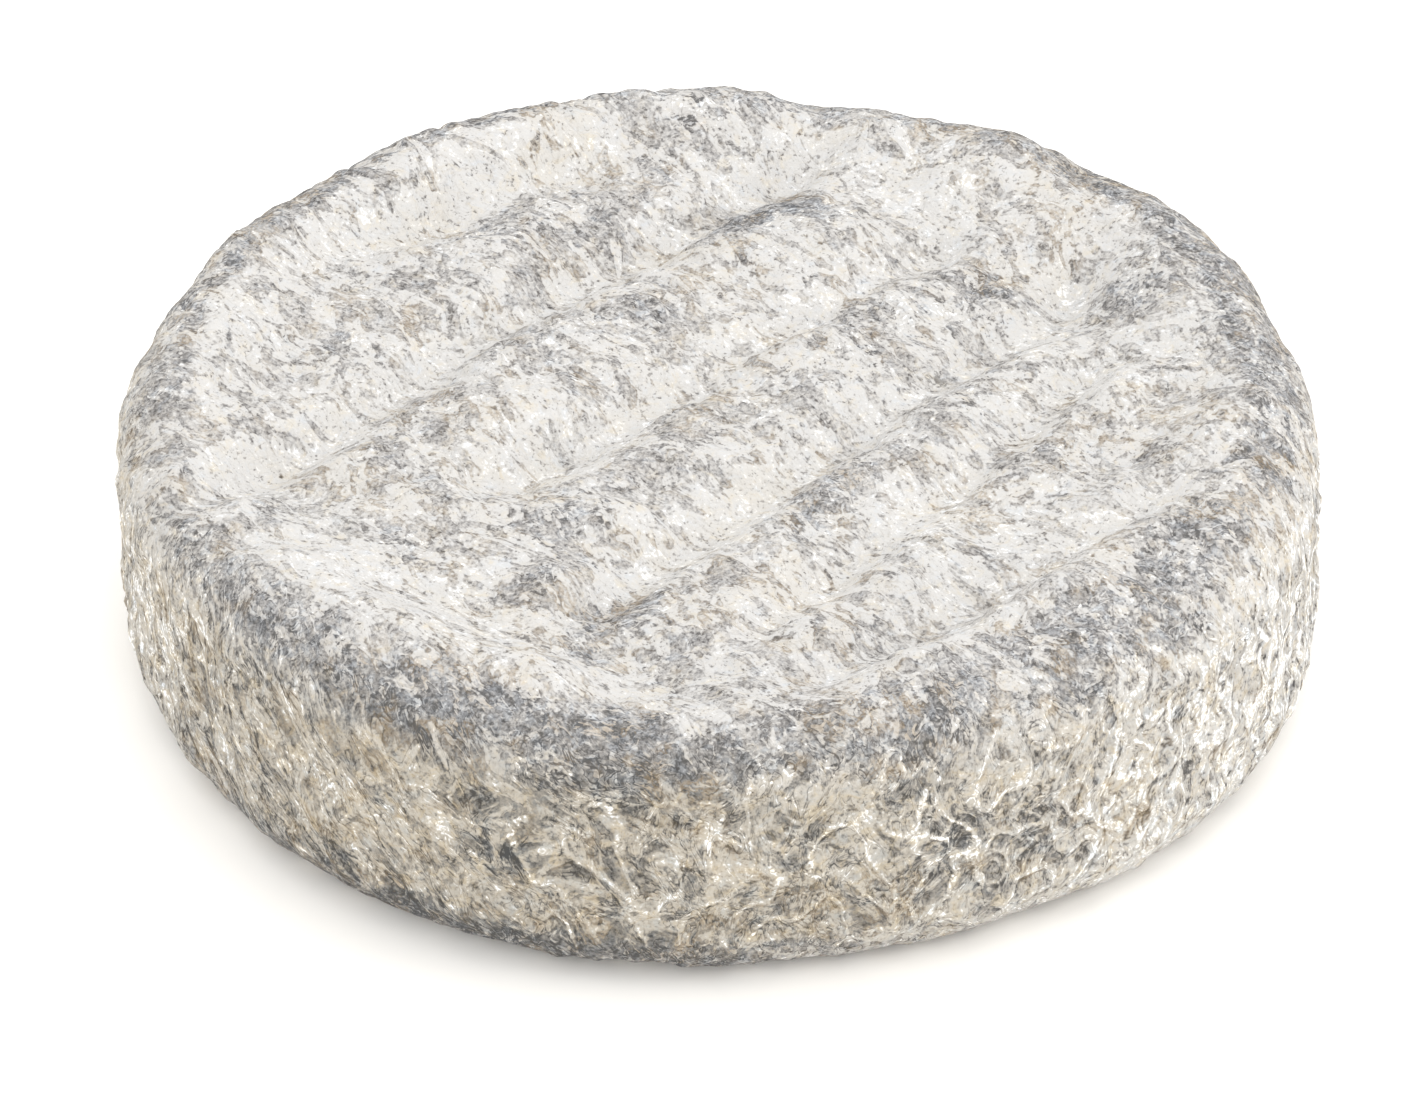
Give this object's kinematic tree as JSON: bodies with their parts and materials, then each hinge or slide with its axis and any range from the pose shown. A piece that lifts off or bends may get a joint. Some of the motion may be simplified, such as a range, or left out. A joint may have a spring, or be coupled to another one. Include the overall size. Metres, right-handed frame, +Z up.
{
  "type": "ash-coated cheese",
  "caption": "Small round soft cheese, a low uncut wheel with a rounded raised rim, a sunken top marked by a drying rack and a wrinkled grey and white ash rind.",
  "frame": {"origin": "middle of the footprint, on the flat underside that the cheese rests on", "axes": "+Z up through the wheel's short height, +Y away from the viewer, +X to the viewer's right"},
  "size_m": [0.0956, 0.096, 0.0246],
  "materials": {
    "ash_rind": "matte"
  },
  "bodies": {
    "root": {"cheese_wheel": "ash_rind"}
  },
  "joints": []
}
